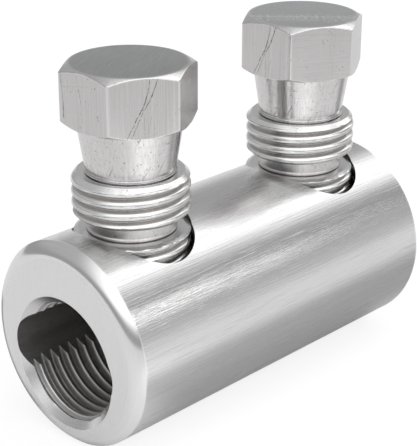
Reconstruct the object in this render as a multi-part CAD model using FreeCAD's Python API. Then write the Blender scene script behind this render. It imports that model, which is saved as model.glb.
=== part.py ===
"""Shear bolt connector: a round barrel that holds two cable ends, each clamped by one shear bolt.

Frame: the barrel lies along X with its middle at X = 0 and its lowest line on Z = 0.
The bolts stand up along Z. Every length is in millimetres.
"""
import FreeCAD, Part
import math
import os

from FreeCAD import Vector

# Barrel
barrel_diameter = 18.0
barrel_length = 37.5
end_chamfer_radial = 0.93
end_chamfer_length = 0.85

# Conductor bores, one blind bore from each end, below the barrel's axis
bore_diameter = 10.0
bore_drop = 1.5
stop_wall = 2.5              # solid wall between the two bores
entry_chamfer = 0.85

# Flat relief through each bore, wide enough for a bolt to come down past the bore's middle
relief_width = 12.0
relief_height = 5.7
relief_rise = 0.3            # its middle lies this far above the bore's axis

# Tapped holes
bolt_setback = 8.0           # from each end face to the nearer bolt
thread_clearance = 0.07      # radial, between the thread's crests and the hole
mouth_radius = 4.3           # round pocket that opens each hole's mouth towards the barrel's sides
mouth_offset = 1.35          # from the bolt's axis to that pocket's
mouth_floor = 5.6            # above the barrel's axis

# Bolt thread
thread_diameter = 9.96
thread_pitch = 1.0
thread_crest = 0.46          # flat left on top of each ridge
flank_angle = 30.0           # degrees from square to the bolt's axis

# Bolt shank, from the tip up
tip_above_bore = 0.7         # height of the tip above the bore's roof before tightening
tip_chamfer = 0.5
lower_thread_length = 4.3
upper_thread_length = 3.6
block_bevel_radial = 0.46
block_bevel_drop = 0.27
block_foot_chamfer = 0.3
shear_groove_width = 0.15
shear_groove_radius = 3.2
lower_neck_radius = 3.74
lower_neck_length = 1.3
upper_neck_foot_radius = 3.8
upper_neck_top_radius = 4.45
upper_neck_length = 4.1

# Bolt head
head_across_flats = 10.0
head_height = 4.95
head_top_radius = 4.9
head_foot_radius = 5.1
head_chamfer_angle = 30.0    # degrees from the head's flat faces
rear_bolt_turn = -60.0       # degrees the rear bolt is screwed round from the front one

# Worked out from the sizes above
barrel_radius = barrel_diameter / 2
axis_height = barrel_radius
bore_radius = bore_diameter / 2
bore_height = axis_height - bore_drop
relief_height_middle = bore_height + relief_rise
bore_depth = (barrel_length - stop_wall) / 2
thread_radius = thread_diameter / 2
groove_half_mouth = (thread_pitch - thread_crest) / 2
groove_depth = groove_half_mouth / math.tan(math.radians(flank_angle))
hole_radius = thread_radius + thread_clearance
bolt_station = barrel_length / 2 - bolt_setback
tip_height = bore_height + bore_radius + tip_above_bore
past_face = 1.0              # how far cutting tools reach past a face

UP = Vector(0, 0, 1)
ALONG = Vector(1, 0, 0)


def revolved(points, axis):
    """Solid made by turning a closed outline once about an axis through the origin."""
    outline = Part.makePolygon(points + [points[0]])
    return Part.Face(outline).revolve(Vector(0, 0, 0), axis, 360)


def barrel_blank():
    """Round bar with chamfered ends."""
    end = barrel_length / 2
    face_radius = barrel_radius - end_chamfer_radial
    shoulder = end - end_chamfer_length
    # Drawn below the axis, so that the seam lies underneath and no hole's rim crosses it
    blank = revolved(
        [
            Vector(-end, 0, 0),
            Vector(-end, 0, -face_radius),
            Vector(-shoulder, 0, -barrel_radius),
            Vector(shoulder, 0, -barrel_radius),
            Vector(end, 0, -face_radius),
            Vector(end, 0, 0),
        ],
        ALONG,
    )
    blank.translate(Vector(0, 0, axis_height))
    return blank


def bore_cutter(side):
    """Blind bore with its entry chamfer and its flat relief, cut from the end at side * X."""
    face = side * barrel_length / 2
    inward = Vector(-side, 0, 0)
    mouth = Vector(face, 0, bore_height)
    bore = Part.makeCylinder(bore_radius, bore_depth, mouth, inward)
    chamfer = Part.makeCone(
        bore_radius + entry_chamfer + past_face,
        bore_radius,
        entry_chamfer + past_face,
        mouth - inward * past_face,
        inward,
    )
    return bore.fuse([chamfer, relief_cutter(side)])


def relief_cutter(side):
    """Flat slot with round sides that runs the whole depth of one bore."""
    half_height = relief_height / 2
    half_flat = relief_width / 2 - half_height
    start = side * (barrel_length / 2 + past_face)
    length = bore_depth + past_face
    inward = Vector(-side, 0, 0)
    low_x = min(start, start - side * length)
    slot = Part.makeBox(
        length,
        2 * half_flat,
        relief_height,
        Vector(low_x, -half_flat, relief_height_middle - half_height),
    )
    rounds = [
        Part.makeCylinder(half_height, length, Vector(start, y, relief_height_middle), inward)
        for y in (-half_flat, half_flat)
    ]
    return slot.fuse(rounds)


def hole_cutters(station):
    """A tapped hole down into the bore, and the pockets on both sides of its mouth."""
    above = barrel_diameter + past_face
    hole_foot = Vector(station, 0, relief_height_middle)
    cutters = [Part.makeCylinder(hole_radius, above - relief_height_middle, hole_foot, UP)]
    floor = axis_height + mouth_floor
    for side in (-1, 1):
        pocket_foot = Vector(station, side * mouth_offset, floor)
        cutters.append(Part.makeCylinder(mouth_radius, above - floor, pocket_foot, UP))
    return cutters


def barrel():
    """The one-piece connector body: a chamfered bar with two tapped holes and two bores."""
    cutters = hole_cutters(-bolt_station) + hole_cutters(bolt_station)
    cutters += [bore_cutter(-1), bore_cutter(1)]
    return barrel_blank().cut(cutters).removeSplitter()


def ridged(foot, top):
    """Outline points, going up, of ridges between two heights, the last one at the top height.

    The ridges are rings at the real pitch, with the real thread's crests and flanks.
    """
    first = top - groove_half_mouth
    count = 1 + int((first - groove_half_mouth - foot) / thread_pitch)
    points = []
    for turn in reversed(range(count)):
        middle = first - turn * thread_pitch
        points += [
            (thread_radius, middle - groove_half_mouth),
            (thread_radius - groove_depth, middle),
            (thread_radius, middle + groove_half_mouth),
        ]
    return points


def shank():
    """Two threaded lengths and two necks, each neck standing on a narrow shear groove."""
    lower_foot = tip_height
    lower_top = lower_foot + lower_thread_length
    lower_neck = lower_top + shear_groove_width
    upper_foot = lower_neck + lower_neck_length
    upper_top = upper_foot + upper_thread_length
    upper_neck = upper_top + shear_groove_width
    neck_top = upper_neck + upper_neck_length
    # The hole hides the lower length, so its ridges are left out
    points = [
        (0, lower_foot),
        (thread_radius - tip_chamfer, lower_foot),
        (thread_radius, lower_foot + tip_chamfer),
        (thread_radius, lower_top - block_bevel_drop),
        (thread_radius - block_bevel_radial, lower_top),
        (shear_groove_radius, lower_top),
        (shear_groove_radius, lower_neck),
        (lower_neck_radius, lower_neck),
        (lower_neck_radius, upper_foot),
        (thread_radius - block_foot_chamfer, upper_foot),
        (thread_radius, upper_foot + block_foot_chamfer),
    ]
    points += ridged(upper_foot + block_foot_chamfer, upper_top - block_bevel_drop)
    points += [
        (thread_radius - block_bevel_radial, upper_top),
        (shear_groove_radius, upper_top),
        (shear_groove_radius, upper_neck),
        (upper_neck_foot_radius, upper_neck),
        (upper_neck_top_radius, neck_top),
        (0, neck_top),
    ]
    return revolved([Vector(r, 0, z) for r, z in points], UP), neck_top


def head(foot):
    """Hexagon head, chamfered above and below, with two of its corners on the Y axis."""
    corner = head_across_flats / math.sqrt(3)
    rise = math.tan(math.radians(head_chamfer_angle))
    turns = [math.radians(30 + 60 * k) for k in range(7)]
    hexagon = Part.makePolygon([Vector(corner * math.cos(a), corner * math.sin(a), foot) for a in turns])
    prism = Part.Face(hexagon).extrude(UP * head_height)
    top = foot + head_height
    envelope = revolved(
        [
            Vector(0, 0, foot),
            Vector(head_foot_radius, 0, foot),
            Vector(corner, 0, foot + (corner - head_foot_radius) * rise),
            Vector(corner, 0, top - (corner - head_top_radius) * rise),
            Vector(head_top_radius, 0, top),
            Vector(0, 0, top),
        ],
        UP,
    )
    return prism.common(envelope)


def shear_bolt(station, turn):
    """One turned bolt, standing over its bore before it is tightened."""
    stem, neck_top = shank()
    bolt = stem.fuse(head(neck_top)).removeSplitter()
    bolt.rotate(Vector(0, 0, 0), UP, turn)
    bolt.translate(Vector(station, 0, 0))
    return bolt


def main():
    nodes = {
        "barrel": barrel(),
        "front_shear_bolt": shear_bolt(-bolt_station, 0),
        "rear_shear_bolt": shear_bolt(bolt_station, rear_bolt_turn),
    }
    os.makedirs("parts", exist_ok=True)
    for name, shape in nodes.items():
        solid = shape.Solids[0]
        solid.exportStep("parts/" + name + ".step")
        print(name, "solids", len(shape.Solids), "valid", solid.isValid(), "volume", round(solid.Volume, 1))


main()
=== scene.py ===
"""Looks of a shear bolt connector: a bright tinned barrel and the two bolts that stand in it.

Shapes are worked out in millimetres in the part's own frame and put into their meshes in metres.
The barrel lies along X on the floor, with its front end at -X, and the bolts stand up along Z.
Where each piece stands, and the overall sizes, come from the boxes of the CAD nodes.
"""

import math

import bmesh
import bpy
import numpy as np
from mathutils import Matrix, Vector


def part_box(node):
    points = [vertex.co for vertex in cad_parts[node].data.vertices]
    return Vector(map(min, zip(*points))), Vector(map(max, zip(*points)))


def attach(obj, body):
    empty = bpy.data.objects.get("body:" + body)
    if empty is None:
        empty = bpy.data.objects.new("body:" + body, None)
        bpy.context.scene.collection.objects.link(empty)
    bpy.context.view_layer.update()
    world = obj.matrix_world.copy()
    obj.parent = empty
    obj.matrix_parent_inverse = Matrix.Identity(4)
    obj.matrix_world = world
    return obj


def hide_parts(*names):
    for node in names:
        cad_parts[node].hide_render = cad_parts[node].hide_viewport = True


MM = 0.001
FULL_TURN = 2 * math.pi
MERGE_GAP = 0.002                # millimetres within which vertices are one
OFF_SURFACE = 0.02               # how far off its own surface a face's middle may lie
PAST_FACE = 1.0                  # how far a cutter reaches past an end face
BARREL_SMOOTH = 28               # degrees; an edge that turns by more stays sharp
BOLT_SMOOTH = 29

# Barrel, in millimetres
END_ROUND_START = 1.6            # from the skin inwards to where the end's round begins
END_ROUND_TILT = 54.0            # degrees that the round has turned through where it meets the skin
END_ROUND_STEPS = 15
BARREL_SEGMENTS = 288

# Conductor bore
BORE_AXIS_DROP = 1.5             # below the barrel's axis
BORE_DEPTH = 17.5
BORE_CREST_RADIUS = 5.0
BORE_ROOT_RADIUS = 5.5
BORE_ROOT_HALF = 0.085           # half of a root's flat, as a share of the pitch
BORE_FLANK = 0.30                # each flank's width, as a share of the pitch
BORE_THREAD_START = 0.95         # from the face to the first root, beside the relief
BORE_THREAD_ANGLE = -18.5        # degrees from +Y at which that root lies
BORE_CUT_IN = 1.1                # depth at which the thread reaches its full depth
BORE_FIRST_CUT = 0.4             # and the share of it that it has at the face
BORE_SEGMENTS = 144
BORE_ROWS = 18                   # rows of faces in one pitch
ENTRY_RADIUS = 5.84
ENTRY_SLOPE = 1.25               # how much the entry chamfer narrows for each millimetre of depth
ENTRY_LEAN = 0.35                # how much more it does so at the bore's foot, and less at its roof
RELIEF_WIDTH = 12.0
RELIEF_HEIGHT = 5.7
RELIEF_RISE = 0.3
RELIEF_STEPS = 48                # points on each round side

# Tapped hole, whose mouth two round pockets open towards the barrel's sides
HOLE_RADIUS = 5.02
MOUTH_RADIUS = 4.3
MOUTH_OFFSET = 1.35
FAR_MOUTH_OFFSET = 1.0           # on the +Y side
MOUTH_FLOOR = 14.6               # height over the floor
MOUTH_ROUND = 0.07
MOUTH_FLARE = (0.4, 0.25)        # how far the cutter widens above the skin: outwards, upwards
MOUTH_BREAK = 0.02               # how far under the skin it starts to widen
HOLE_FLOOR = 7.8                 # the hole opens into the bore above this height
HOLE_SEGMENTS = 192

# Bolt, heights from its tip
THREAD_PITCH = 1.0
CREST_RADIUS = 4.98
CREST_HALF = 0.27                # half the width of the domed crest
CREST_DROP = 0.13                # how much lower the dome is at its sides
FLANK_SLOPE = 1.73               # depth gained for each millimetre along the bolt
ROOT_HALF = 0.07                 # half the width of the round root
SEAM_DEPTH = 0.03                # rolling seam along the middle of the crest
SEAM_WIDTH = 0.040
RUN_OUT = 0.45                   # length over which the groove fades below each block's top
THREAD_START = 21.55             # height of a crest on +X of the front bolt, over the floor
LOWER_LENGTH = 4.3
UPPER_LENGTH = 3.6
SHEAR_GROOVE = 0.15
SHEAR_GAP = 0.08                 # what the neck's lip leaves open of it
SHEAR_RADIUS = 3.55
TIP_CHAMFER = 0.4
FOOT_CHAMFER = 0.3
BEVEL_RADIAL = 0.46
LOWER_BEVEL_DROP = 0.18
UPPER_BEVEL_DROP = 0.40
LOWER_NECK_RADIUS = 3.74
LOWER_NECK_LENGTH = 1.3
NECK_FOOT_RADIUS = 3.8
NECK_TOP_RADIUS = 4.42
NECK_LENGTH = 4.1
LIP = 0.09                       # how far the foot of each neck flares out
LIP_EDGE = 0.07                  # height of the lip's straight edge over the groove's top
LIP_HEIGHT = 0.16                # height at which the neck has its own radius again
NECK_ROUND = 0.05

# Bolt head
ACROSS_FLATS = 10.0
HEAD_TOP_RADIUS = 4.9
HEAD_FOOT_RADIUS = 5.1
HEAD_CHAMFER = 30.0              # degrees
CORNER_ROUND = 0.25
EDGE_ROUND = 0.10
REAR_TURN = -60.0                # degrees
BOLT_HALF_STEPS = 15             # columns of faces over half a flat
BOLT_CROWDING = 2.2

# Camera, fitted to the photograph
VIEW_AZIMUTH = -46.2404          # degrees; 0 looks along +Y
VIEW_ELEVATION = 22.5875
VIEW_ROLL = 0.1883
VIEW_TARGET = (-2.762, -1.237, 15.703)
VIEW_DISTANCE = 122.18
FOCAL_PIXELS = 1396.76
IMAGE_HEIGHT = 446


def mesh_object(name, vertices, faces):
    """Mesh from vertices in millimetres and a list of faces."""
    mesh = bpy.data.meshes.new(name)
    mesh.from_pydata((np.asarray(vertices) * MM).tolist(), [], faces)
    mesh.validate()
    piece = bpy.data.objects.new(name, mesh)
    bpy.context.scene.collection.objects.link(piece)
    return piece


def cleaned(piece):
    """Merges coincident vertices, drops faces without area and turns all faces outwards."""
    work = bmesh.new()
    work.from_mesh(piece.data)
    bmesh.ops.remove_doubles(work, verts=work.verts, dist=MERGE_GAP * MM)
    bmesh.ops.dissolve_degenerate(work, edges=work.edges, dist=MERGE_GAP * MM)
    bmesh.ops.recalc_face_normals(work, faces=work.faces)
    work.to_mesh(piece.data)
    work.free()
    return piece


def turned(name, radii, heights, angles, axis="Z", center=(0, 0, 0)):
    """Closed surface of rows (radius, height) swept over the angles, with a point at each end.

    Point = center + (r cos a, r sin a, h) about Z, or (h, r cos a, r sin a) about X. Row and
    column arrays have the shape (rows, angles); the last angle is the first one plus a turn.
    """
    across = radii * np.cos(angles)
    up = radii * np.sin(angles)
    order = (across, up, heights) if axis == "Z" else (heights, across, up)
    points = np.stack([np.broadcast_to(part, radii.shape) for part in order], axis=-1)
    rows, columns = radii.shape
    index = np.arange(rows * columns).reshape(rows, columns)
    quads = np.stack([index[:-1, :-1], index[:-1, 1:], index[1:, 1:], index[1:, :-1]], axis=-1)
    vertices = points.reshape(-1, 3) + np.asarray(center)
    return cleaned(mesh_object(name, vertices, quads.reshape(-1, 4).tolist()))


def even_angles(count):
    """count + 1 angles over one turn, the last one repeating the first."""
    return np.linspace(0, FULL_TURN, count + 1)


def rows_of(points, columns):
    """Rows of a section: each point is (radius, height), either of them a number or an array."""
    radii = np.stack([np.broadcast_to(r, columns) for r, h in points]).astype(float)
    heights = np.stack([np.broadcast_to(h, columns) for r, h in points]).astype(float)
    return radii, heights


def rounded(points, reach, columns, steps=5):
    """Section whose inner corners are replaced by quadratic curves.

    A corner B between A and C becomes (1-s)^2 P + 2s(1-s) B + s^2 Q, where P and Q lie on BA and
    BC, a distance of reach from B, or 0.45 of the side if that is less.
    """
    radii, heights = rows_of(points, columns)
    section = np.stack([radii, heights], axis=-1)
    rows = [section[:1]]
    s = np.linspace(0, 1, steps)[:, None, None]
    for before, corner, after in zip(section, section[1:], section[2:]):
        ends = []
        for other in (before, after):
            side = other - corner
            length = np.linalg.norm(side, axis=-1, keepdims=True)
            ends.append(corner + side * np.minimum(reach / np.maximum(length, 1e-9), 0.45))
        curve = (1 - s) ** 2 * ends[0] + 2 * s * (1 - s) * corner + s ** 2 * ends[1]
        rows.append(curve)
    rows.append(section[-1:])
    joined = np.concatenate(rows)
    return joined[..., 0], joined[..., 1]


def ridge_depth(phase):
    """Depth under the crest in millimetres at a phase of the thread; 0 is a crest's middle.

    With u the distance from that middle, the domed crest is CREST_DROP (u / CREST_HALF)^2. It runs
    into a straight flank, and the flank into a round root, deepest - curve (1/2 - u)^2.
    """
    away = np.abs((phase + 0.5) % 1.0 - 0.5)
    dome = CREST_DROP * np.minimum(away / CREST_HALF, 1) ** 2
    flank = dome + FLANK_SLOPE * np.maximum(away - CREST_HALF, 0)
    curve = FLANK_SLOPE / (2 * ROOT_HALF)
    deepest = CREST_DROP + FLANK_SLOPE * (0.5 - ROOT_HALF - CREST_HALF) + curve * ROOT_HALF ** 2
    return np.where(away < 0.5 - ROOT_HALF, flank, deepest - curve * (0.5 - away) ** 2)


def seam_depth(phase):
    """Notch along the crest's middle that thread rolling leaves."""
    away = (phase + 0.5) % 1.0 - 0.5
    return SEAM_DEPTH * np.maximum(1 - np.abs(away) / SEAM_WIDTH, 0)


def bore_ridge(phase):
    """Height of the bore's ridges, from 0 in a root to 1 on a crest, at a phase of its thread.

    With s the share of the flank that is climbed, it is the mean of s and s^2 (3 - 2s), so that the
    flank is nearly straight and its ends are eased.
    """
    away = np.abs((phase + 0.5) % 1.0 - 0.5)
    s = np.clip((away - BORE_ROOT_HALF) / BORE_FLANK, 0, 1)
    return 0.5 * s + 0.5 * s * s * (3 - 2 * s)


def helix_rows(low, high, start, angles, phases):
    """Heights and phases of lines that climb one pitch a turn, cut off at low and high."""
    first = math.floor((low - start) / THREAD_PITCH) - 2
    last = math.ceil((high - start) / THREAD_PITCH) + 2
    steps = (np.arange(first, last)[:, None] + phases).reshape(-1, 1)
    climb = angles[None, :] / FULL_TURN
    heights = np.clip(start + (steps + climb) * THREAD_PITCH, low, high)
    return heights, (heights - start) / THREAD_PITCH - climb


def thread_phases():
    """Phases of one pitch, from crest to crest, that crowd where the ridge bends."""
    half = [0, 0.015, 0.03, 0.07, 0.12, 0.17, 0.22, 0.26, 0.29, 0.34, 0.39, 0.43, 0.445, 0.46, 0.48]
    return np.array(half + [0.5] + [1 - phase for phase in half[:0:-1]])


def threaded_rows(foot, length, foot_chamfer, bevel_drop, angles):
    """Right-hand external thread between a chamfered foot and a bevelled top.

    Its radius is the crest's less the ridge's depth and the seam's, and the groove fades over the
    run-out under the top. The foot's cone r = c - chamfer + (h - foot) and the bevel's cone
    r = c - bevel + (top - h) bevel / drop cut it off, with c the crest's radius.
    """
    top = foot + length
    heights, phases = helix_rows(foot, top, THREAD_START, angles, thread_phases())
    grooved = np.clip((top - heights) / RUN_OUT, 0, 1)
    radii = CREST_RADIUS - ridge_depth(phases) * grooved - seam_depth(phases)
    at_foot = CREST_RADIUS - foot_chamfer + (heights - foot)
    at_top = CREST_RADIUS - BEVEL_RADIAL + (top - heights) * BEVEL_RADIAL / bevel_drop
    return np.minimum(radii, np.minimum(at_foot, at_top)), heights


def hexagon_radius(angles):
    """Distance from the axis to a hexagon with rounded corners, its corners at 30 + 60 k degrees.

    At an angle b from the nearest corner, a flat is (across / 2) / cos(30 - |b|) away. Beside the
    corner it is the circle of its round c: m cos b + sqrt(c^2 - (m sin b)^2), with m the distance
    of that circle's middle.
    """
    half_sector = math.pi / 6
    from_corner = angles % (2 * half_sector) - half_sector
    flat = ACROSS_FLATS / 2 / np.cos(half_sector - np.abs(from_corner))
    middle = (ACROSS_FLATS / 2 - CORNER_ROUND) / math.cos(half_sector)
    reach = CORNER_ROUND ** 2 - (middle * np.sin(from_corner)) ** 2
    arc = middle * np.cos(from_corner) + np.sqrt(np.maximum(reach, 0))
    arc_end_y = CORNER_ROUND * math.sin(half_sector)
    arc_end_x = middle + CORNER_ROUND * math.cos(half_sector)
    return np.where(np.abs(from_corner) < math.atan2(arc_end_y, arc_end_x), arc, flat)


def bolt_angles():
    """Angles that crowd towards the hexagon's corners, so that their rounds are smooth.

    Over half a flat, step s of 0 to 1 lies 30 s^2.2 degrees from the corner.
    """
    half = 30 * np.linspace(0, 1, BOLT_HALF_STEPS + 1) ** BOLT_CROWDING
    sector = np.concatenate([half, 60 - half[-2:0:-1]])
    turns = np.concatenate([sector + 30 + 60 * k for k in range(6)] + [[390.0]])
    return np.radians(turns)


class BoltPlace:
    """Where one bolt stands and the heights of its parts, in millimetres, from its CAD node."""

    def __init__(self, node, turn):
        low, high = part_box(node)
        self.station = (low.x + high.x) / 2 / MM
        self.turn = math.radians(turn)
        self.tip = low.z / MM
        self.top = high.z / MM
        self.lower_top = self.tip + LOWER_LENGTH
        self.neck_foot = self.lower_top + SHEAR_GROOVE
        self.upper_foot = self.neck_foot + LOWER_NECK_LENGTH
        self.upper_top = self.upper_foot + UPPER_LENGTH
        self.cone_foot = self.upper_top + SHEAR_GROOVE
        self.head_foot = self.cone_foot + NECK_LENGTH


def grooved_neck(block_top, neck_foot, neck_radius):
    """Section from a block's bevel in to the shear groove and out again to its neck's lip.

    The second point lies on the block's flat top, so that rounding leaves the bevel's edge crisp.
    """
    shoulder = CREST_RADIUS - BEVEL_RADIAL
    groove_top = block_top + SHEAR_GAP
    return [
        (shoulder, block_top),
        (shoulder - 0.1, block_top),
        (SHEAR_RADIUS, block_top),
        (SHEAR_RADIUS, groove_top),
        (neck_radius + LIP, groove_top),
        (neck_radius + LIP - 0.02, neck_foot + LIP_EDGE),
        (neck_radius, neck_foot + LIP_HEIGHT),
    ]


def shear_bolt(name, bolt):
    """One shear bolt as a single closed surface, from its tip to the top of its head.

    It is a section turned about the bolt's axis. The head's section changes round the axis with
    the hexagon's distance, and its chamfers are cones that rise 1 in 1.73 from its flat faces.
    """
    angles = bolt_angles()
    columns = angles.shape
    rise = math.tan(math.radians(HEAD_CHAMFER))
    side = hexagon_radius(angles)
    foot_radius = np.minimum(side, HEAD_FOOT_RADIUS)
    # Its last point lies on the upper block's flat underside
    lower_neck = [
        (LOWER_NECK_RADIUS, bolt.upper_foot),
        (CREST_RADIUS - FOOT_CHAMFER - 0.35, bolt.upper_foot),
    ]
    head = [
        (NECK_TOP_RADIUS, bolt.head_foot),
        (foot_radius, bolt.head_foot),
        (side, bolt.head_foot + (side - foot_radius) * rise),
        (side, bolt.top - (side - HEAD_TOP_RADIUS) * rise),
        (np.full(columns, HEAD_TOP_RADIUS), bolt.top),
        (0, bolt.top),
    ]
    lower_groove = grooved_neck(bolt.lower_top, bolt.neck_foot, LOWER_NECK_RADIUS)
    upper_groove = grooved_neck(bolt.upper_top, bolt.cone_foot, NECK_FOOT_RADIUS)
    blocks = [
        rows_of([(0, bolt.tip), (CREST_RADIUS - TIP_CHAMFER, bolt.tip)], columns),
        threaded_rows(bolt.tip, LOWER_LENGTH, TIP_CHAMFER, LOWER_BEVEL_DROP, angles),
        rounded(lower_groove + lower_neck, NECK_ROUND, columns),
        threaded_rows(bolt.upper_foot, UPPER_LENGTH, FOOT_CHAMFER, UPPER_BEVEL_DROP, angles),
        rounded(upper_groove + head, EDGE_ROUND, columns),
    ]
    radii = np.concatenate([rows[0] for rows in blocks])
    heights = np.concatenate([rows[1] for rows in blocks])
    # The turn goes into the angles, which moves the thread round with the head
    return turned(name, radii, heights, angles + bolt.turn, center=(bolt.station, 0, 0))


def barrel_blank(length, radius):
    """Round bar along X with rounded ends that still meet the skin in an edge.

    The round's tilt grows evenly with the radius r, as k (r - a) from the circle a where it begins,
    so it lies -ln(cos(k (r - a))) / k behind the face.
    """
    end = length / 2
    begin = radius - END_ROUND_START
    growth = math.radians(END_ROUND_TILT) / END_ROUND_START
    r_round = np.linspace(begin, radius, END_ROUND_STEPS)
    x_round = end + np.log(np.cos(growth * (r_round - begin))) / growth
    r = np.concatenate([[0], r_round, r_round[::-1], [0]])
    x = np.concatenate([[end], x_round, -x_round[::-1], [-end]])
    angles = even_angles(BARREL_SEGMENTS)
    radii, heights = rows_of(list(zip(r, x)), angles.shape)
    return turned("barrel_skin", radii, heights, angles, axis="X", center=(0, 0, radius))


def entry_radius(rise, depth):
    """Radius of the entry chamfer at a depth; the rise is 1 at the bore's roof and -1 at its foot."""
    return ENTRY_RADIUS - (ENTRY_SLOPE - ENTRY_LEAN * rise) * depth


def bore_cutter(length, radius, side):
    """Threaded bore with its entry chamfer, along X from one end face to the stop wall.

    Its radius is the crests' plus the thread's depth times 1 - ridge, less near the face, or the
    entry chamfer's radius where that is larger.
    """
    angles = even_angles(BORE_SEGMENTS)
    start = BORE_THREAD_START + BORE_THREAD_ANGLE / 360.0 * THREAD_PITCH
    phases_of_rows = np.arange(BORE_ROWS) / BORE_ROWS
    depths, phases = helix_rows(-PAST_FACE, BORE_DEPTH, start, angles, phases_of_rows)
    cut_in = np.clip(depths / BORE_CUT_IN, BORE_FIRST_CUT, 1)
    thread_depth = BORE_ROOT_RADIUS - BORE_CREST_RADIUS
    wall = BORE_CREST_RADIUS + thread_depth * (1 - bore_ridge(phases)) * cut_in
    wall = np.maximum(wall, entry_radius(np.sin(angles), depths))
    outer = rows_of([(0, -PAST_FACE)], angles.shape)
    inner = rows_of([(0, BORE_DEPTH)], angles.shape)
    radii = np.concatenate([outer[0], wall, inner[0]])
    depths = np.concatenate([outer[1], depths, inner[1]])
    cutter = turned("bore_cutter", radii, depths, angles, axis="X")
    return placed(cutter, side, length, radius - BORE_AXIS_DROP)


def placed(cutter, side, length, height):
    """Puts a cutter drawn from the front face inwards at its end: turned half round for the rear."""
    spin = Matrix.Rotation(0 if side < 0 else math.pi, 4, "Z")
    move = Matrix.Translation((0, 0, height * MM)) @ spin @ Matrix.Translation((-length / 2 * MM, 0, 0))
    cutter.data.transform(move)
    return cutter


def relief_cutter(length, radius, side):
    """Flat slot with round sides along the bore: a stadium carried along X.

    Its right half is y = f + h cos a, z = h sin a for a from -90 to 90 degrees, with h half its
    height and f half its flat, and its left half is that turned half round.
    """
    half = RELIEF_HEIGHT / 2
    flat = RELIEF_WIDTH / 2 - half
    angles = np.linspace(-math.pi / 2, math.pi / 2, RELIEF_STEPS)
    right_y = flat + half * np.cos(angles)
    right_z = half * np.sin(angles)
    y = np.concatenate([right_y, -right_y])
    z = RELIEF_RISE + np.concatenate([right_z, -right_z])
    count = len(y)
    # It stops just short of the bore's end, so that no two end faces lie in one plane
    depths = np.repeat([-PAST_FACE, BORE_DEPTH - 0.1], count)
    points = np.stack([depths, np.tile(y, 2), np.tile(z, 2)], axis=-1)
    ring = np.arange(count)
    around = np.roll(ring, -1)
    faces = np.stack([ring, around, around + count, ring + count], axis=-1).tolist()
    faces.append(ring[::-1].tolist())
    faces.append((ring + count).tolist())
    cutter = cleaned(mesh_object("relief_cutter", points, faces))
    return placed(cutter, side, length, radius - BORE_AXIS_DROP)


def hole_cutter(radius, station):
    """Bolt hole whose mouth opens towards the barrel's sides and follows the barrel's round skin.

    At an angle a round the hole, the skin stands at z = R + sqrt(R^2 - (r sin a)^2). The pockets'
    wall is at r = c |sin a| + sqrt(m^2 - (c cos a)^2), with c their offset and m their radius.
    """
    angles = even_angles(HOLE_SEGMENTS)
    across = np.abs(np.sin(angles))
    offset = np.where(np.sin(angles) > 0, FAR_MOUTH_OFFSET, MOUTH_OFFSET)
    pocket = offset * across + np.sqrt(MOUTH_RADIUS ** 2 - (offset * np.cos(angles)) ** 2)
    mouth = np.maximum(pocket, HOLE_RADIUS + 0.01)
    skin = radius + np.sqrt(radius ** 2 - (mouth * across) ** 2)
    flare_out, flare_up = MOUTH_FLARE
    flared = mouth + flare_out
    wall = [
        (HOLE_RADIUS, HOLE_FLOOR),
        (HOLE_RADIUS, MOUTH_FLOOR),
        (mouth, MOUTH_FLOOR + 0.05),
        (mouth, skin - MOUTH_BREAK),
        (flared, skin + flare_up),
        (flared, skin + 1.2),
    ]
    radii, heights = rounded(wall, MOUTH_ROUND, angles.shape, steps=4)
    lid = 2 * radius + 3.0
    ends = rows_of([(0, HOLE_FLOOR), (0, lid), (flared, lid)], angles.shape)
    radii = np.concatenate([ends[0][:1], radii, ends[0][:0:-1]])
    heights = np.concatenate([ends[1][:1], heights, ends[1][:0:-1]])
    return turned("hole_cutter", radii, heights, angles, center=(station, 0, 0))


def cut(piece, cutters):
    """Subtracts the cutters from a piece, one after another, and removes them."""
    for cutter in cutters:
        modifier = piece.modifiers.new("cut", "BOOLEAN")
        modifier.operation = "DIFFERENCE"
        modifier.solver = "EXACT"
        modifier.object = cutter
        depsgraph = bpy.context.evaluated_depsgraph_get()
        mesh = bpy.data.meshes.new_from_object(piece.evaluated_get(depsgraph))
        piece.modifiers.clear()
        piece.data = mesh
        bpy.data.objects.remove(cutter)
    return piece


def barrel_size():
    """Length and radius of the barrel in millimetres, from its CAD node."""
    low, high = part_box("barrel")
    return (high.x - low.x) / MM, (high.z - low.z) / 2 / MM


def barrel_body(bolts):
    """The connector's body: a round bar with two tapped bores, their reliefs and two bolt holes."""
    length, radius = barrel_size()
    piece = barrel_blank(length, radius)
    cutters = [hole_cutter(radius, bolt.station) for bolt in bolts]
    for side in (-1, 1):
        cutters.append(relief_cutter(length, radius, side))
        cutters.append(bore_cutter(length, radius, side))
    return cut(piece, cutters)


def smooth(piece, angle):
    """Smooth shading that stops at edges sharper than the angle, in degrees."""
    piece.data.shade_smooth()
    piece.data.set_sharp_from_angle(angle=math.radians(angle))


class Socket:
    """A node's output as a number that can be added, multiplied and so on."""

    def __init__(self, finish, output):
        self.finish = finish
        self.output = output

    def node_outputs(self):
        """All outputs of the node that this one belongs to."""
        return [Socket(self.finish, output) for output in self.output.node.outputs]

    def combine(self, operation, first, second):
        return self.finish.node("ShaderNodeMath", {"operation": operation}, [first, second])

    def __add__(self, other):
        return self.combine("ADD", self, other)

    def __radd__(self, other):
        return self.combine("ADD", other, self)

    def __sub__(self, other):
        return self.combine("SUBTRACT", self, other)

    def __rsub__(self, other):
        return self.combine("SUBTRACT", other, self)

    def __mul__(self, other):
        return self.combine("MULTIPLY", self, other)

    def __rmul__(self, other):
        return self.combine("MULTIPLY", other, self)

    def __truediv__(self, other):
        return self.combine("DIVIDE", self, other)

    def __abs__(self):
        return self.combine("ABSOLUTE", self, 0.0)

    def __pow__(self, other):
        return self.combine("POWER", self, other)


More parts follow.
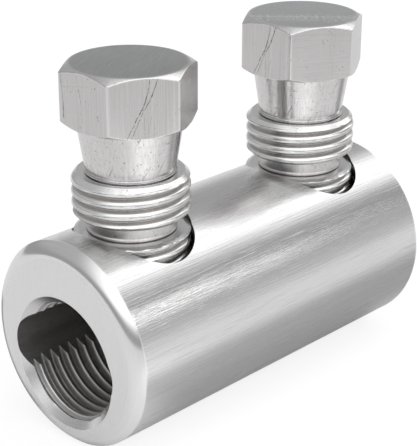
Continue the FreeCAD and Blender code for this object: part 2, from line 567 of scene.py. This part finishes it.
class Finish:
    """A node material, or the world, whose nodes come from one method."""

    def __init__(self, name, tree=None):
        self.material = None
        if tree is None:
            self.material = bpy.data.materials.new(name)
            self.material.use_nodes = True
            tree = self.material.node_tree
        self.tree = tree
        tree.nodes.clear()

    def node(self, kind, settings=None, inputs=None, output=0):
        """Adds a node, sets its properties, then its sockets, and returns one of its outputs."""
        made = self.tree.nodes.new(kind)
        for key, value in (settings or {}).items():
            if key == "stops":
                self.set_stops(made.color_ramp, value)
            else:
                setattr(made, key, value)
        pairs = enumerate(inputs) if isinstance(inputs, list) else (inputs or {}).items()
        for key, value in pairs:
            self.feed(made.inputs[key], value)
        return Socket(self, made.outputs[output]) if len(made.outputs) else made

    def feed(self, socket, value):
        """Links a wrapped output to a socket, or sets the socket's own value."""
        if isinstance(value, Socket):
            self.tree.links.new(value.output, socket)
        else:
            socket.default_value = value

    def set_stops(self, ramp, stops):
        """Stops of a colour ramp as (place, grey or colour)."""
        while len(ramp.elements) > 1:
            ramp.elements.remove(ramp.elements[0])
        for number, (place, shade) in enumerate(stops):
            element = ramp.elements[0] if number == 0 else ramp.elements.new(place)
            element.position = place
            colour = shade if isinstance(shade, tuple) else (shade, shade, shade)
            element.color = colour + (1,)

    def place(self, station=0.0, turn=0.0):
        """Object coordinates in millimetres, from an upright axis at a station along X, turned back."""
        here = self.node("ShaderNodeTexCoord", output="Object")
        in_mm = self.node("ShaderNodeVectorMath", {"operation": "SCALE"}, {0: here, "Scale": 1 / MM})
        moved = self.node("ShaderNodeVectorMath", {"operation": "SUBTRACT"}, [in_mm, (station, 0, 0)])
        return self.node("ShaderNodeMapping", None, {"Vector": moved, "Rotation": (0, 0, -turn)})

    def stretched(self, vector, scale):
        """Vector with each part scaled."""
        return self.node("ShaderNodeVectorMath", {"operation": "MULTIPLY"}, [vector, scale])

    def parts(self, vector):
        """The x, y and z of a vector."""
        return self.node("ShaderNodeSeparateXYZ", None, [vector]).node_outputs()

    def vector(self, x, y, z):
        return self.node("ShaderNodeCombineXYZ", None, [x, y, z])

    def maths(self, operation, *values):
        return self.node("ShaderNodeMath", {"operation": operation}, list(values))

    def clamp(self, value):
        return self.node("ShaderNodeClamp", None, [value])

    def noise(self, vector, scale, detail=2.0, roughness=0.5, distortion=0.0):
        """Noise from 0 to 1 around one half."""
        values = {
            "Vector": vector,
            "Scale": scale,
            "Detail": detail,
            "Roughness": roughness,
            "Distortion": distortion,
        }
        return self.node("ShaderNodeTexNoise", {"noise_dimensions": "3D"}, values, output="Fac")

    def ramp(self, value, stops):
        """Value carried through a ramp of greys or colours."""
        return self.node("ShaderNodeValToRGB", {"stops": stops}, {"Fac": value}, output="Color")

    def fit(self, value, low, high, to_low=0.0, to_high=1.0):
        """Value carried smoothly from the span low..high to to_low..to_high."""
        settings = {"interpolation_type": "SMOOTHSTEP"}
        values = [value, low, high, to_low, to_high]
        return self.node("ShaderNodeMapRange", settings, values)

    def mix(self, factor, first, second):
        """Colour between two colours."""
        values = {0: factor, 6: first, 7: second}
        return self.node("ShaderNodeMix", {"data_type": "RGBA"}, values, output=2)

    def grey(self, value):
        """Colour whose three parts are one number."""
        return self.node("ShaderNodeCombineColor", None, [value, value, value])

    def tinted(self, value, share):
        """Near-grey colour: green and blue are the value times this share."""
        return self.node("ShaderNodeCombineColor", None, [value, value * share, value * share])

    def bump(self, height, distance, strength=1.0):
        """Normal from a height; the distance is in millimetres."""
        values = {"Strength": strength, "Distance": distance * MM, "Height": height}
        return self.node("ShaderNodeBump", None, values, output="Normal")

    def metal(self, colour, roughness, normal=None):
        """Bare metal surface."""
        values = {"Base Color": colour, "Metallic": 1.0, "Roughness": roughness}
        if normal is not None:
            values["Normal"] = normal
        shader = self.node("ShaderNodeBsdfPrincipled", None, values)
        self.node("ShaderNodeOutputMaterial", None, {"Surface": shader})
        return self.material


def brushed_barrel(half_length):
    """Tinned skin with fine streaks along the barrel, some of them sharp, and a painted highlight along
    its end edges.
    """
    finish = Finish("tinned_barrel_skin")
    here = finish.place()
    fine = finish.noise(finish.stretched(here, (0.14, 13.0, 13.0)), 1.0, 3.0, 0.6)
    broad = finish.noise(finish.stretched(here, (0.07, 1.6, 1.6)), 1.0, 2.0)
    sharp = finish.noise(finish.stretched(here, (0.22, 16.0, 16.0)), 1.0, 1.0)
    mark = finish.fit(sharp, 0.60, 0.72)
    x, y, z = finish.parts(here)
    # Painted highlight: the skin is painted paler within about a millimetre of each end edge
    painted_rim_highlight = finish.fit(half_length - abs(x), 1.11, 0.95)
    shade = 0.73 + (fine - 0.5) * 0.20 + (broad - 0.5) * 0.05 - mark * 0.08 + painted_rim_highlight * 0.15
    roughness = 0.21 + (broad - 0.5) * 0.08 + mark * 0.08
    normal = finish.bump(fine + broad * 0.3 - mark * 0.2, 0.010)
    return finish.metal(finish.grey(shade), roughness, normal)


def end_round(radius):
    """Rounded ends of the barrel, turned and then polished."""
    finish = Finish("tinned_end_round")
    x, y, z = finish.parts(finish.place())
    from_axis = finish.maths("SQRT", y * y + (z - radius) ** 2.0)
    turning = finish.noise(finish.vector(from_axis * 7.0, y * 0.15, z * 0.15), 1.0, 2.0)
    shade = 0.76 + (turning - 0.5) * 0.08
    return finish.metal(finish.grey(shade), 0.15, finish.bump(turning, 0.0015))


def faced_end():
    """Fine matte end face."""
    finish = Finish("tinned_end_face")
    here = finish.place()
    grain = finish.noise(here, 5.0, 3.0)
    brushed = finish.noise(finish.stretched(here, (1.0, 4.0, 0.3)), 1.0, 3.0)
    shade = 0.78 + (grain - 0.5) * 0.06 + (brushed - 0.5) * 0.04
    return finish.metal(finish.grey(shade), 0.42, finish.bump(grain + brushed, 0.002))


def entry_chamfer():
    """Turned chamfer at the bore's mouth."""
    finish = Finish("tinned_entry")
    here = finish.place()
    grain = finish.noise(here, 6.0, 3.0)
    turning = finish.noise(finish.stretched(here, (14.0, 1.0, 1.0)), 1.0, 2.0)
    shade = 0.74 + (grain - 0.5) * 0.06 + (turning - 0.5) * 0.08
    return finish.metal(finish.grey(shade), 0.24, finish.bump(turning, 0.0015))


def bore_wall(half_length, bore_height):
    """Tapped wall inside the bore, painted dark as shade, with a painted highlight on the crests of the
    ridges near its mouth.
    """
    finish = Finish("bore_wall")
    here = finish.place()
    x, y, z = finish.parts(here)
    from_axis = finish.maths("SQRT", y * y + (z - bore_height) ** 2.0)
    crest = 1.0 - finish.fit(from_axis, BORE_CREST_RADIUS + 0.01, BORE_CREST_RADIUS + 0.12)
    grain = finish.noise(finish.stretched(here, (1.0, 3.0, 3.0)), 1.5, 3.0)
    # Painted shade: the wall inside the bore is painted dark
    dark = finish.mix(grain, (0.335, 0.33, 0.327, 1), (0.57, 0.56, 0.553, 1))
    # Painted highlight on the crests near the mouth, and painted shade on the crests deeper in
    mouth = finish.fit(half_length - abs(x), 1.85, 1.05)
    edge = finish.mix(mouth, (0.32, 0.31, 0.305, 1), (0.80, 0.795, 0.79, 1))
    return finish.metal(finish.mix(crest, dark, edge), 0.42, finish.bump(grain, 0.006))


def hole_wall():
    """Wall of a bolt's hole, painted dark as shade, with a bump and bands of painted highlight for its
    thread.
    """
    finish = Finish("hole_wall")
    x, y, z = finish.parts(finish.place())
    wave = finish.maths("SINE", (z + 0.4) * FULL_TURN)
    # Painted shade, with bands of painted highlight along the thread
    shade = 0.30 + finish.fit(wave, 0.4, 1.0) * 0.35
    return finish.metal(finish.grey(shade), 0.35, finish.bump(wave, 0.12))


# Scratches on a bolt's flats, in the bolt's own frame: the way the flat faces, in degrees, then the
# two ends as (millimetres along the flat, height over the floor), half the width and the strength
SCRATCHES = (
    (240, (1.20, 31.70), (0.55, 30.05), 0.045, 1.0),
    (240, (0.55, 30.05), (0.05, 29.20), 0.040, 0.8),
    (240, (0.52, 31.60), (0.30, 30.40), 0.035, 0.8),
    (240, (0.30, 30.40), (-0.02, 29.45), 0.060, 1.0),
    (240, (-0.02, 29.45), (-0.52, 28.60), 0.060, 1.0),
    (240, (-0.50, 28.70), (-0.78, 28.05), 0.045, 1.0),
    (240, (-0.78, 28.05), (-1.38, 26.90), 0.040, 0.8),
    (240, (0.00, 29.20), (-1.02, 26.90), 0.035, 0.8),
    (240, (0.02, 29.50), (0.04, 26.87), 0.025, 0.5),
    (240, (0.62, 28.60), (0.30, 27.20), 0.022, 0.4),
    (180, (-2.57, 31.20), (-2.44, 30.10), 0.040, 0.9),
    (180, (-2.44, 30.10), (-2.34, 28.95), 0.035, 0.7),
    (180, (-2.34, 28.95), (-2.33, 27.60), 0.055, 1.0),
    (180, (-0.62, 31.50), (-0.50, 30.60), 0.025, 0.5),
    (180, (-0.50, 30.60), (-0.13, 29.20), 0.030, 0.6),
    (180, (-0.13, 29.20), (-0.05, 27.60), 0.020, 0.4),
    (180, (1.73, 28.70), (1.80, 28.10), 0.045, 0.8),
    (180, (-2.50, 30.15), (0.70, 30.80), 0.020, 0.35),
    (300, (0.04, 30.62), (0.16, 30.20), 0.045, 0.45),
    (300, (0.55, 31.46), (0.95, 31.06), 0.030, 0.4),
    (300, (-1.60, 28.40), (-1.20, 28.15), 0.030, 0.25),
)


def on_bolt(finish, bolt):
    """Vector in the bolt's own frame, its parts, and the distance from the bolt's axis."""
    here = finish.place(bolt.station, bolt.turn)
    x, y, z = finish.parts(here)
    return here, x, y, z, finish.maths("SQRT", x * x + y * y)


def painted_edge_highlight(finish, bolt, radius, z):
    """Mask of the painted highlight on a head: 1 on its chamfered edges, about half on its corners and 0
    on its flats.
    """
    corner_reach = (ACROSS_FLATS / 2 - CORNER_ROUND) / math.cos(math.pi / 6) + CORNER_ROUND
    corner = finish.fit(radius, corner_reach - 0.055, corner_reach) * 0.55
    rise = math.tan(math.radians(HEAD_CHAMFER))
    above = finish.fit(z + (radius - HEAD_TOP_RADIUS) * rise, bolt.top - 0.14, bolt.top - 0.03)
    from_foot = z - (radius - HEAD_FOOT_RADIUS) * rise - bolt.head_foot
    below = 1.0 - finish.fit(from_foot, 0.02, 0.10)
    return finish.maths("MAXIMUM", corner, finish.maths("MAXIMUM", above, below))


def scratch(finish, x, y, z, ragged, facing, start, end, half_width):
    """1 along one scratch on the flat that faces an angle, and 0 away from it.

    The distance from its line and the way along it are worked out on the flat, and the ragged
    value bends the line.
    """
    facing = math.radians(facing)
    along = y * math.cos(facing) - x * math.sin(facing)
    on_flat = finish.fit(x * math.cos(facing) + y * math.sin(facing), 4.90, 4.96)
    length = math.dist(start, end)
    du, dz = (end[0] - start[0]) / length, (end[1] - start[1]) / length
    run = (along - start[0]) * du + (z - start[1]) * dz
    aside = abs((z - start[1]) * du - (along - start[0]) * dz + ragged)
    line = finish.clamp(1.6 - aside * (1.5 / half_width))
    ends = finish.fit(abs(run - length / 2), length / 2 + 0.05, length / 2 - 0.1)
    return line * ends * on_flat


def bolt_flats(bolt):
    """Drawn flats of the head, with painted highlights along their edges, pits and scratches."""
    finish = Finish("tinned_bolt_flats")
    here, x, y, z, radius = on_bolt(finish, bolt)
    upright = finish.noise(finish.stretched(here, (12.0, 12.0, 0.12)), 1.0, 3.0, 0.6)
    level = finish.noise(finish.stretched(here, (0.22, 0.22, 13.0)), 1.0, 3.0, 0.6)
    # The lines run level on the two flats on both sides of -30 degrees, and upright on the others
    toward = (x * math.cos(math.radians(30)) - y * math.sin(math.radians(30))) / radius
    turned_over = finish.fit(toward, 0.49, 0.51)
    drawn = upright + (level - upright) * turned_over
    hair = finish.fit(finish.noise(finish.stretched(here, (16.0, 16.0, 0.35)), 1.0, 1.0), 0.64, 0.76)
    grain = finish.noise(here, 6.0, 2.0)
    pits = finish.fit(finish.noise(here, 6.5, 0.0), 0.81, 0.87)
    ragged = (finish.noise(here, 4.0, 2.0) - 0.5) * 0.12
    broken = finish.fit(finish.noise(here, 7.0, 1.0), 0.30, 0.55)
    scratched = 0.0
    for facing, start, end, half_width, strength in SCRATCHES:
        line = scratch(finish, x, y, z, ragged, facing, start, end, half_width)
        scratched = finish.maths("MAXIMUM", scratched, line * strength)
    scratched = finish.maths("MAXIMUM", scratched * broken, pits * 0.6)
    # Painted highlight: the head's edges and corners are painted paler
    edge = painted_edge_highlight(finish, bolt, radius, z)
    shade = 0.588 + (drawn - 0.5) * (0.30 - turned_over * 0.10) + (grain - 0.5) * 0.08 - hair * 0.08
    plain = finish.mix(edge, finish.tinted(shade, 0.977), (0.84, 0.835, 0.835, 1))
    colour = finish.mix(scratched * 0.95, plain, (0.11, 0.10, 0.095, 1))
    normal = finish.bump(drawn + grain * 0.3 - scratched * 2.0 - hair * 0.3, 0.004)
    return finish.metal(colour, 0.25 + scratched * 0.3, normal)


def turned_axes(x, y, degrees):
    """Distances along and across a direction at an angle from X."""
    angle = math.radians(degrees)
    return x * math.cos(angle) + y * math.sin(angle), y * math.cos(angle) - x * math.sin(angle)


def bolt_top(bolt, worn):
    """Machined top of the head with fine parallel lines and a painted highlight round its rim.

    The more it is worn, the brighter are a scored line across it and the marks around that line.
    """
    finish = Finish("tinned_bolt_top")
    here, x, y, z, radius = on_bolt(finish, bolt)
    run, across = turned_axes(x, y, 30)
    lines = finish.noise(finish.vector(run * 0.35, across * 6.0, 0.0), 1.0, 3.0, 0.6)
    scored_run, scored_across = turned_axes(x, y, 12)
    aside = scored_across + 1.12
    spread = finish.noise(finish.vector(scored_run * 3.0, aside * 10.0, 3.0), 1.0, 3.0, 0.7)
    marks = finish.fit(spread, 0.52, 0.62)
    band = finish.fit(abs(aside + 0.4), 1.7, 0.3)
    scored = finish.fit(abs(aside), 0.14, 0.04)
    # Painted highlight: a paler ring just inside the top's rim
    painted_rim_highlight = finish.fit(radius, HEAD_TOP_RADIUS - 0.28, HEAD_TOP_RADIUS - 0.02)
    shade = 0.445 + (lines - 0.5) * 0.24 + painted_rim_highlight * 0.16
    shade = shade + (marks * (0.11 + band * 0.60) + scored * 0.20 + 0.115) * worn
    return finish.metal(finish.tinted(shade, 1.012), 0.34, finish.bump(lines, 0.003))


def bolt_neck(bolt):
    """Turned and drawn neck with pits and scratches, and painted shade near its foot."""
    finish = Finish("tinned_bolt_neck")
    here, x, y, z, radius = on_bolt(finish, bolt)
    angle = finish.maths("ARCTAN2", y, x)
    drawn = finish.noise(finish.stretched(here, (6.0, 6.0, 0.12)), 1.0, 3.0, 0.6)
    rings = finish.noise(finish.vector(angle * 0.8, z * 9.0, 0.0), 1.0, 2.0)
    pits = finish.fit(finish.noise(here, 6.0, 0.0), 0.76, 0.82)
    hair = finish.fit(finish.noise(finish.stretched(here, (11.0, 11.0, 0.30)), 1.0, 1.0), 0.62, 0.74)
    lean = finish.vector((angle * 4.0 - z * 0.55) * 5.0, (z + angle) * 0.30, 0.0)
    scratched = finish.fit(finish.noise(lean, 1.0, 1.0), 0.68, 0.76)
    dark = finish.clamp(pits + scratched * 0.8 + hair * 0.35)
    # Painted shade: the neck is painted darker near its foot, above the shear groove
    foot = 1.0 - finish.fit(z - bolt.cone_foot + (drawn - 0.5) * 0.8, 0.2, 1.0)
    shade = 0.655 + (drawn - 0.5) * 0.30 + (rings - 0.5) * 0.14 - foot * 0.12
    colour = finish.mix(dark * 0.7, finish.tinted(shade, 0.977), (0.16, 0.15, 0.14, 1))
    normal = finish.bump(drawn * 0.7 + rings * 0.5 - dark, 0.005)
    return finish.metal(colour, 0.15, normal)


def bolt_thread(bolt):
    """Rolled thread: bright crests with a dark seam along their middle, and grooves painted darker as
    shade.
    """
    finish = Finish("tinned_bolt_thread")
    here, x, y, z, radius = on_bolt(finish, bolt)
    grain = finish.noise(finish.stretched(here, (2.5, 2.5, 5.0)), 1.0, 3.0)
    turns = finish.maths("ARCTAN2", y, x) / FULL_TURN
    phase = finish.maths("WRAP", z - THREAD_START - turns, 0.5, -0.5)
    uneven = finish.noise(finish.stretched(here, (0.9, 0.9, 0.3)), 1.0, 2.0)
    seam = finish.fit(abs(phase + (grain - 0.5) * 0.02), 0.050, 0.015) * finish.fit(uneven, 0.25, 0.60)
    # Painted shade: the deeper parts of the thread are painted darker
    groove = 1.0 - finish.fit(radius, CREST_RADIUS - 0.28, CREST_RADIUS - 0.11)
    crest = finish.tinted(0.80 + (grain - 0.5) * 0.08, 0.997)
    root = finish.mix(grain, (0.44, 0.43, 0.42, 1), (0.58, 0.565, 0.555, 1))
    colour = finish.mix(seam * 0.7, finish.mix(groove, crest, root), (0.20, 0.19, 0.18, 1))
    return finish.metal(colour, 0.24, finish.bump(grain, 0.003))


def bolt_turned(bolt, shade, tint, roughness, speckle):
    """Plain turned surfaces: bevels, shoulders, the lower neck and the head's chamfers."""
    finish = Finish("tinned_bolt_turned")
    here = finish.place(bolt.station, bolt.turn)
    grain = finish.noise(here, 5.0, 3.0)
    pits = finish.fit(finish.noise(here, 4.0, 1.0), 0.66, 0.74)
    level = shade + (grain - 0.5) * speckle - pits * speckle * 0.8
    return finish.metal(finish.tinted(level, tint), roughness, finish.bump(grain - pits, 0.006))


# Brightness of the surroundings on the barrel's rear side, against the angle about the barrel's
# axis in degrees from straight up towards the camera's side
REAR_SURROUNDINGS = (
    (-180, 0.70),
    (-92, 0.90),
    (-80, 0.60),
    (-68, 0.44),
    (-45, 0.41),
    (-31, 0.44),
    (-25, 0.54),
    (-19, 0.72),
    (-13, 1.08),
    (-1, 1.95),
    (5, 1.90),
    (11, 1.75),
    (17, 1.55),
    (23, 1.10),
    (30, 0.68),
    (36, 0.43),
    (47, 0.34),
    (55, 0.37),
    (62, 0.42),
    (68, 0.48),
    (74, 0.52),
    (83, 0.55),
    (92, 0.70),
    (180, 0.70),
)
FRONT_DARK = 0.38                # brightness towards the barrel's front, at the horizon
FRONT_BRIGHT = 1.45              # and above it on the camera's side
FRONT_LIFT = (0.12, 0.38)        # upward part of the directions between which it brightens
FRONT_TURN = (0.55, -0.15)       # part of them along Y from the far side to the camera's
FRONT_BACK = 0.12                # share of the brightening that the far side has
FRONT_TO_REAR = (0.26, 0.58)     # part along X from the front's surroundings to the rear's


def set_world():
    """Soft surroundings, white where the camera sees them.

    On the rear side they are bands along the barrel. On the front side they brighten with height
    and towards the camera's side.
    """
    world = bpy.data.worlds.new("studio")
    bpy.context.scene.world = world
    world.use_nodes = True
    studio = Finish("studio", world.node_tree)
    toward = studio.node("ShaderNodeTexCoord", output="Generated")
    x, y, z = studio.parts(toward)
    angle = studio.maths("ARCTAN2", y * -1.0, z)
    stops = [(0.5 + degrees / 360, shade) for degrees, shade in REAR_SURROUNDINGS]
    rear = studio.ramp(angle / FULL_TURN + 0.5, stops)
    lifted = studio.fit(z, *FRONT_LIFT)
    nearer = studio.fit(y, *FRONT_TURN)
    bright = lifted * (nearer * (1 - FRONT_BACK) + FRONT_BACK)
    front = studio.grey(FRONT_DARK + bright * (FRONT_BRIGHT - FRONT_DARK))
    shade = studio.mix(studio.fit(x, *FRONT_TO_REAR), front, rear)
    seen = studio.node("ShaderNodeLightPath", output="Is Camera Ray")
    around = studio.node("ShaderNodeBackground", None, {"Color": shade, "Strength": 1.0})
    white = studio.node("ShaderNodeBackground", None, {"Color": (1, 1, 1, 1), "Strength": 1.0})
    blend = studio.node("ShaderNodeMixShader", None, [seen, around, white])
    studio.node("ShaderNodeOutputWorld", None, {"Surface": blend})


FLOOR_HALF = 600.0               # millimetres from the middle to each side
FLOOR_SHADE = 0.84
FLOOR_GLOW = (0.75, 1.1)         # what the camera sees glow: its share, and its strength
PAINTED_POOL_LIGHT = 0.14                # painted pool of light: how much paler the floor is painted in front of the barrel
POOL_MIDDLE = (-16.0, -34.0)
POOL_REACH = (26.0, 8.0)         # the distances over which it grows paler
PAINTED_SHADOW_SHADE = 0.40                 # painted shadow: how much darker the floor is painted right beside the barrel
PAINTED_SHADOW_MIDDLE_Y = -13.5
PAINTED_SHADOW_EDGE_Y = (13.0, 4.0)         # distances from its middle line over which it darkens
PAINTED_SHADOW_START_X = (-18.0, -8.0)
FAR_SHADE = 0.50                 # painted shade: how much darker the floor is painted on the barrel's far side
FAR_MIDDLE = (8.0, 20.0)
FAR_EDGES = ((30.0, 25.0), (16.0, 12.0))


def add_floor():
    """Pale floor that reads white to the camera and still takes a soft shadow, with a painted pool of
    light, and painted shadow and shade that only light bounces and reflections see.
    """
    half = FLOOR_HALF
    corners = [(-half, -half, 0), (half, -half, 0), (half, half, 0), (-half, half, 0)]
    floor = mesh_object("floor", corners, [(0, 1, 2, 3)])
    finish = Finish("floor_paint")
    x, y, z = finish.parts(finish.place())
    # Painted pool of light: the floor is painted paler in front of the barrel
    away = finish.maths("SQRT", (x - POOL_MIDDLE[0]) ** 2.0 + (y - POOL_MIDDLE[1]) ** 2.0)
    # Painted shadow right beside the barrel, seen only by light bounces and reflections
    beside = finish.fit(abs(y - PAINTED_SHADOW_MIDDLE_Y), *PAINTED_SHADOW_EDGE_Y) * finish.fit(x, *PAINTED_SHADOW_START_X)
    # Painted shade on the barrel's far side, seen only by light bounces and reflections
    beyond = 1.0
    for place, middle, edge in zip((x, y), FAR_MIDDLE, FAR_EDGES):
        beyond = finish.fit(abs(place - middle), *edge) * beyond
    seen = finish.node("ShaderNodeLightPath", output="Is Camera Ray")
    darker = (beside * PAINTED_SHADOW_SHADE + beyond * FAR_SHADE) * (1.0 - seen)
    shade = FLOOR_SHADE + finish.fit(away, *POOL_REACH) * PAINTED_POOL_LIGHT - darker
    glow_share, glow_strength = FLOOR_GLOW
    paint = finish.node("ShaderNodeBsdfDiffuse", None, {"Color": finish.grey(shade)})
    glow = finish.node("ShaderNodeEmission", None, {"Color": (1, 1, 1, 1), "Strength": glow_strength})
    blend = finish.node("ShaderNodeMixShader", None, [seen * glow_share, paint, glow])
    finish.node("ShaderNodeOutputMaterial", None, {"Surface": blend})
    floor.data.materials.append(finish.material)


def add_light(name, place, size, radiance, lean=0.0):
    """Soft rectangular light that the camera doesn't see.

    It lies level and shines down, or leans by an angle in radians about X, at a place in
    millimetres and with a size (along X, across it).
    """
    data = bpy.data.lights.new(name, "AREA")
    data.shape = "RECTANGLE"
    data.size = size[0] * MM
    data.size_y = size[1] * MM
    data.energy = radiance * math.pi * data.size * data.size_y
    light = bpy.data.objects.new(name, data)
    bpy.context.scene.collection.objects.link(light)
    light.visible_camera = False
    light.location = Vector(place) * MM
    light.rotation_euler = (lean, 0, 0)


STRIP_ANGLE = math.radians(59)   # from straight up towards the camera's side
STRIP_DISTANCE = 200.0           # from the barrel's axis
STRIP_MIDDLE_X = 125.0
STRIP_SIZE = (110.0, 20.0)
STRIP_RADIANCE = 2.5
LAMP_PLACE = (-18.0, -35.0, 26.0)
LAMP_SIZE = (14.0, 14.0)
LAMP_RADIANCE = 4.0


def add_lights(radius):
    """A strip along the barrel's line for the skin's highlight, and a lamp over the paler floor."""
    strip_y = -STRIP_DISTANCE * math.sin(STRIP_ANGLE)
    strip_z = radius + STRIP_DISTANCE * math.cos(STRIP_ANGLE)
    strip_place = (STRIP_MIDDLE_X, strip_y, strip_z)
    add_light("front_strip", strip_place, STRIP_SIZE, STRIP_RADIANCE, STRIP_ANGLE)
    add_light("floor_pool", LAMP_PLACE, LAMP_SIZE, LAMP_RADIANCE)


def add_camera():
    """Camera at the photograph's viewing angle."""
    azimuth, elevation = math.radians(VIEW_AZIMUTH), math.radians(VIEW_ELEVATION)
    back = Vector(
        (
            math.sin(azimuth) * math.cos(elevation),
            -math.cos(azimuth) * math.cos(elevation),
            math.sin(elevation),
        )
    )
    right = Vector((0, 0, 1)).cross(back).normalized()
    up = back.cross(right)
    roll = math.radians(VIEW_ROLL)
    right, up = right * math.cos(roll) + up * math.sin(roll), up * math.cos(roll) - right * math.sin(roll)
    data = bpy.data.cameras.new("camera")
    data.sensor_fit = "AUTO"
    data.lens = data.sensor_width * FOCAL_PIXELS / IMAGE_HEIGHT
    data.clip_start = 0.001
    camera = bpy.data.objects.new("camera", data)
    bpy.context.scene.collection.objects.link(camera)
    turn = Matrix((right, up, back)).transposed().to_4x4()
    camera.matrix_world = Matrix.Translation((Vector(VIEW_TARGET) + back * VIEW_DISTANCE) * MM) @ turn
    bpy.context.scene.camera = camera


def face_data(piece):
    """Centres in millimetres and normals of a piece's faces, each as x, y and z arrays."""
    count = len(piece.data.polygons)
    found = []
    for name in ("center", "normal"):
        values = np.zeros(count * 3)
        piece.data.polygons.foreach_get(name, values)
        found.append(values.reshape(-1, 3).T)
    return found[0] / MM, found[1]


def give_materials(piece, materials, kinds):
    """Gives each face the material whose number is the face's kind."""
    for material in materials:
        piece.data.materials.append(material)
    piece.data.polygons.foreach_set("material_index", kinds)


def finish_barrel(piece, station):
    """Gives the barrel its materials by where each face lies; the station is a bolt's along X."""
    skin, end, bore, face, hole, entry = range(6)
    (x, y, z), (nx, ny, nz) = face_data(piece)
    length, radius = barrel_size()
    bore_height = radius - BORE_AXIS_DROP
    from_axis = np.hypot(y, z - radius)
    from_end = length / 2 - np.abs(x)
    on_skin = from_axis > radius - OFF_SURFACE
    kinds = np.where(on_skin, skin, bore)
    near_end = (from_end < 1.0) & (from_axis > radius - END_ROUND_START)
    kinds[near_end & (~on_skin | (from_end < 0.8))] = end
    on_face = from_end < 0.01
    kinds[on_face] = face
    from_bore = np.hypot(y, z - bore_height)
    cone = entry_radius((z - bore_height) / np.maximum(from_bore, 1e-6), from_end)
    on_entry = (np.abs(nx) > 0.5) & (np.abs(from_bore - cone) < 0.03)
    kinds[on_entry & ~on_face] = entry
    from_bolt = np.hypot(np.abs(x) - station, y)
    in_hole = (from_bolt < MOUTH_RADIUS + MOUTH_OFFSET + 0.3) & ~on_skin & (z > radius + 4.5)
    kinds[in_hole] = hole
    in_pocket = (from_bolt > HOLE_RADIUS + 0.05) | (y > 0)
    kinds[in_hole & in_pocket & (z > MOUTH_FLOOR)] = entry
    materials = (
        brushed_barrel(length / 2),
        end_round(radius),
        bore_wall(length / 2, bore_height),
        faced_end(),
        hole_wall(),
        entry_chamfer(),
    )
    give_materials(piece, materials, kinds)


def finish_bolt(piece, bolt, worn):
    """Gives a bolt its materials by height and by the way each face looks."""
    thread, bevel, lower_neck, neck, flat, top, chamfer = range(7)
    (x, y, z), (nx, ny, nz) = face_data(piece)
    radius = np.hypot(x - bolt.station, y)
    kinds = np.full(len(z), thread)
    kinds[(z > bolt.lower_top - LOWER_BEVEL_DROP) & (z < bolt.upper_foot + OFF_SURFACE)] = bevel
    on_lower_neck = (z > bolt.lower_top) & (z < bolt.upper_foot)
    kinds[on_lower_neck & (radius < LOWER_NECK_RADIUS + LIP + 0.01)] = lower_neck
    kinds[z > bolt.upper_top - UPPER_BEVEL_DROP * 0.7] = bevel
    kinds[z > bolt.cone_foot] = neck
    on_head = z > bolt.head_foot + OFF_SURFACE
    kinds[on_head] = flat
    kinds[on_head & (np.abs(nz) > 0.3)] = chamfer
    kinds[(nz > 0.97) & (z > bolt.top - 0.1)] = top
    materials = (
        bolt_thread(bolt),
        bolt_turned(bolt, shade=0.80, tint=0.995, roughness=0.24, speckle=0.14),
        bolt_turned(bolt, shade=0.62, tint=0.965, roughness=0.34, speckle=0.26),
        bolt_neck(bolt),
        bolt_flats(bolt),
        bolt_top(bolt, worn),
        bolt_turned(bolt, shade=0.66, tint=0.985, roughness=0.26, speckle=0.16),
    )
    give_materials(piece, materials, kinds)


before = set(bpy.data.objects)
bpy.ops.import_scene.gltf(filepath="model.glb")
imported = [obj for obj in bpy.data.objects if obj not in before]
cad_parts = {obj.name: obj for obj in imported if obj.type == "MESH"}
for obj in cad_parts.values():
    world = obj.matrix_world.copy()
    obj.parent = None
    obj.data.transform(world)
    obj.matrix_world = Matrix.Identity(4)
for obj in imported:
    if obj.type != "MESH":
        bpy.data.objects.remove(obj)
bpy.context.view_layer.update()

front_place = BoltPlace("front_shear_bolt", 0.0)
rear_place = BoltPlace("rear_shear_bolt", REAR_TURN)

body = barrel_body((front_place, rear_place))
body.name = "barrel_body"
smooth(body, BARREL_SMOOTH)
finish_barrel(body, rear_place.station)
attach(body, "connector_body")
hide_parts("barrel")

for name, node, rides_on, place, worn in (
    ("front_bolt_turned", "front_shear_bolt", "front_bolt", front_place, 0.1),
    ("rear_bolt_turned", "rear_shear_bolt", "rear_bolt", rear_place, 1.0),
):
    bolt = shear_bolt(name, place)
    smooth(bolt, BOLT_SMOOTH)
    finish_bolt(bolt, place, worn)
    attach(bolt, rides_on)
    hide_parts(node)

set_world()
add_floor()
add_lights(barrel_size()[1])
add_camera()

bpy.context.scene.view_settings.view_transform = "Standard"
